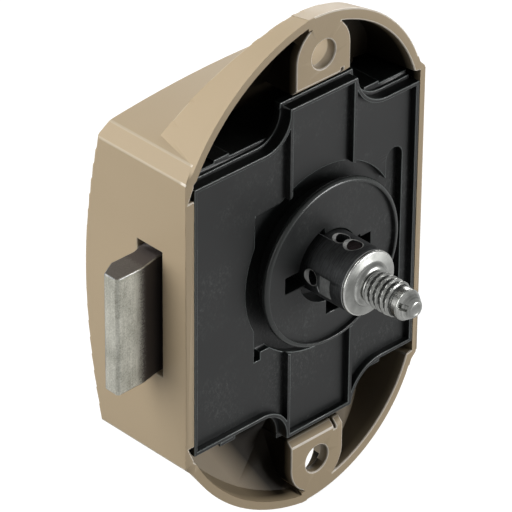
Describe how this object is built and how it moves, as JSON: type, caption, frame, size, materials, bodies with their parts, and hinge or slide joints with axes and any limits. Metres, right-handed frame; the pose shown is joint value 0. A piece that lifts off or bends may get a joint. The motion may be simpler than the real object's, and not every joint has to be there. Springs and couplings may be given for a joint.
{
  "type": "lock case",
  "caption": "Surface-mounted push-button lock case with a spring bolt, curved cover with round screw ends, back plate, retainer disc and threaded push spindle.",
  "frame": {"origin": "midway between the two screw holes, on the mounting face of the cover shell", "axes": "+X away from the bolt, +Y from the door into the case, +Z along the line of the screw holes, upwards"},
  "size_m": [0.0501, 0.0356, 0.0744],
  "materials": {
    "shell_plastic": "satin beige moulded plastic",
    "plate_plastic": "satin black moulded plastic with light scuffs",
    "washer_rubber": "black rubber",
    "dark_metal": "dark oiled steel",
    "stud_metal": "bright zinc-plated steel",
    "bolt_metal": "raw zinc die casting, slightly speckled",
    "pin_steel": "drawn steel",
    "carriage_plastic": "natural acetal"
  },
  "bodies": {
    "case": {"cover_shell": "shell_plastic", "back_plate": "plate_plastic", "retainer_disc": "plate_plastic", "stop_washer": "washer_rubber", "spindle_spring": "pin_steel", "latch_wire": "pin_steel", "upper_bolt_spring": "pin_steel", "lower_bolt_spring": "pin_steel"},
    "plunger": {"spindle": "dark_metal", "head_pin": "dark_metal", "threaded_stud": "stud_metal", "plunger_collar": "carriage_plastic", "cam_pins": "pin_steel"},
    "bolt": {"latch_bolt": "bolt_metal", "bolt_pin": "pin_steel", "bolt_carriage": "carriage_plastic", "heart_cam": "carriage_plastic", "upper_guide_rod": "pin_steel", "lower_guide_rod": "pin_steel"}
  },
  "joints": [
    {"name": "spindle_push", "type": "slide", "parent": "case", "child": "plunger", "axis": [0, -1, 0], "range_m": [0, 0.009], "deforming": ["spindle_spring"]},
    {"name": "bolt_slide", "type": "slide", "parent": "case", "child": "bolt", "axis": [1, 0, 0], "range_m": [0, 0.0087], "deforming": ["upper_bolt_spring", "lower_bolt_spring", "latch_wire"]}
  ],
  "couplings": [
    {"joint": "bolt_slide", "follows": "spindle_push", "ratio": 0.96667}
  ]
}
